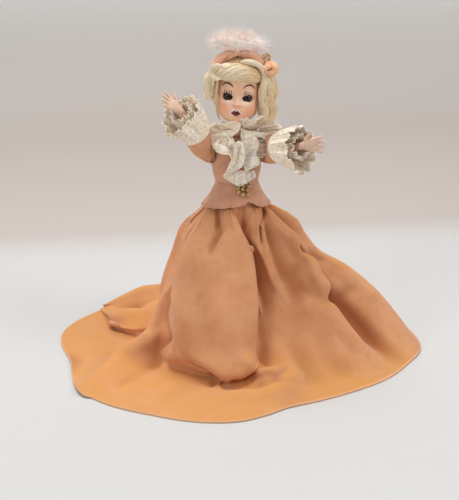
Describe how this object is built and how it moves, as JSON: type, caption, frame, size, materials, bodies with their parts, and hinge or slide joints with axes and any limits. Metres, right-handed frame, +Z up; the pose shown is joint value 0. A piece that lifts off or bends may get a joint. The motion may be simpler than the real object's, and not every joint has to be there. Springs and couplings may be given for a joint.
{
  "type": "topsy turvy doll",
  "caption": "Two half dolls joined at the waist, one upright in bodice, lace and hat, the other head down under the long shared skirt.",
  "frame": {"origin": "on the floor under the dolls' axis, at the flat crown of the lower doll's wig", "axes": "+Z up along the dolls' axis, -Y the way both dolls face, +X to the upper doll's left"},
  "size_m": [0.223, 0.2011, 0.1969],
  "materials": {
    "wood": "plain turned wood",
    "plastic": "flesh-coloured hard plastic, satin",
    "eye": "polished dark brown",
    "weight": "dull grey metal",
    "mohair": "pale blond mohair",
    "elastic": "covered elastic cord",
    "wire": "bent steel wire",
    "pink_felt": "dusty pink felt",
    "peach_cloth": "peach brushed cotton",
    "lining_cloth": "plain peach cotton",
    "lace": "cream lace",
    "gold_bead": "gold pearl",
    "feather": "pale pink marabou"
  },
  "bodies": {
    "body_and_skirt": {"waist_plug": "wood", "upper_torso": "plastic", "upper_bodice": "pink_felt", "upper_arm_elastic": "elastic", "upper_neck_hook": "wire", "lower_torso": "plastic", "lower_bodice": "lining_cloth", "lower_arm_elastic": "elastic", "lower_neck_hook": "wire", "lace_collar": "lace", "lace_jabot": "lace", "peplum": "pink_felt", "bead_cluster": "gold_bead", "skirt": "peach_cloth", "skirt_lining": "lining_cloth"},
    "upper_head": {"upper_head": "plastic", "upper_wig": "mohair", "hat_band": "pink_felt", "hat_side_roll": "pink_felt", "hat_beads": "gold_bead", "feather_tuft": "feather"},
    "upper_eyes": {"upper_right_eyeball": "eye", "upper_left_eyeball": "eye", "upper_eye_rocker": "weight"},
    "upper_right_arm": {"upper_right_arm": "plastic", "upper_right_sleeve": "peach_cloth", "upper_right_lace_cuff": "lace"},
    "upper_left_arm": {"upper_left_arm": "plastic", "upper_left_sleeve": "peach_cloth", "upper_left_lace_cuff": "lace"},
    "lower_head": {"lower_head": "plastic", "lower_wig": "mohair"},
    "lower_eyes": {"lower_right_eyeball": "eye", "lower_left_eyeball": "eye", "lower_eye_rocker": "weight"},
    "lower_right_arm": {"lower_right_arm": "plastic", "lower_right_sleeve": "peach_cloth"},
    "lower_left_arm": {"lower_left_arm": "plastic", "lower_left_sleeve": "peach_cloth"}
  },
  "joints": [
    {"name": "upper_head_turn", "type": "hinge", "parent": "body_and_skirt", "child": "upper_head", "pos_m": [-0.0015, 0, 0.1395], "axis": [0.0872, 0, 0.9962], "range_deg": [-25, 25]},
    {"name": "upper_eyes_close", "type": "hinge", "parent": "upper_head", "child": "upper_eyes", "pos_m": [-0.00127, -0.00945, 0.16126], "axis": [0.9811, -0.1737, -0.0858], "range_deg": [0, 50]},
    {"name": "upper_right_arm_swing", "type": "hinge", "parent": "body_and_skirt", "child": "upper_right_arm", "pos_m": [-0.01579, 0, 0.128], "axis": [1, 0, 0], "range_deg": [-12, 100]},
    {"name": "upper_left_arm_swing", "type": "hinge", "parent": "body_and_skirt", "child": "upper_left_arm", "pos_m": [0.01381, 0, 0.128], "axis": [1, 0, 0], "range_deg": [-15, 60]},
    {"name": "lower_head_turn", "type": "hinge", "parent": "body_and_skirt", "child": "lower_head", "pos_m": [0, 0, 0.0435], "axis": [0, 0, -1], "range_deg": [-30, 30]},
    {"name": "lower_eyes_open", "type": "hinge", "parent": "lower_head", "child": "lower_eyes", "pos_m": [0, -0.0096, 0.0218], "axis": [1, 0, 0], "range_deg": [0, 50]},
    {"name": "lower_right_arm_swing", "type": "hinge", "parent": "body_and_skirt", "child": "lower_right_arm", "pos_m": [0.0148, 0, 0.055], "axis": [-1, 0, 0], "range_deg": [-8, 8]},
    {"name": "lower_left_arm_swing", "type": "hinge", "parent": "body_and_skirt", "child": "lower_left_arm", "pos_m": [-0.0148, 0, 0.055], "axis": [-1, 0, 0], "range_deg": [-8, 8]}
  ]
}
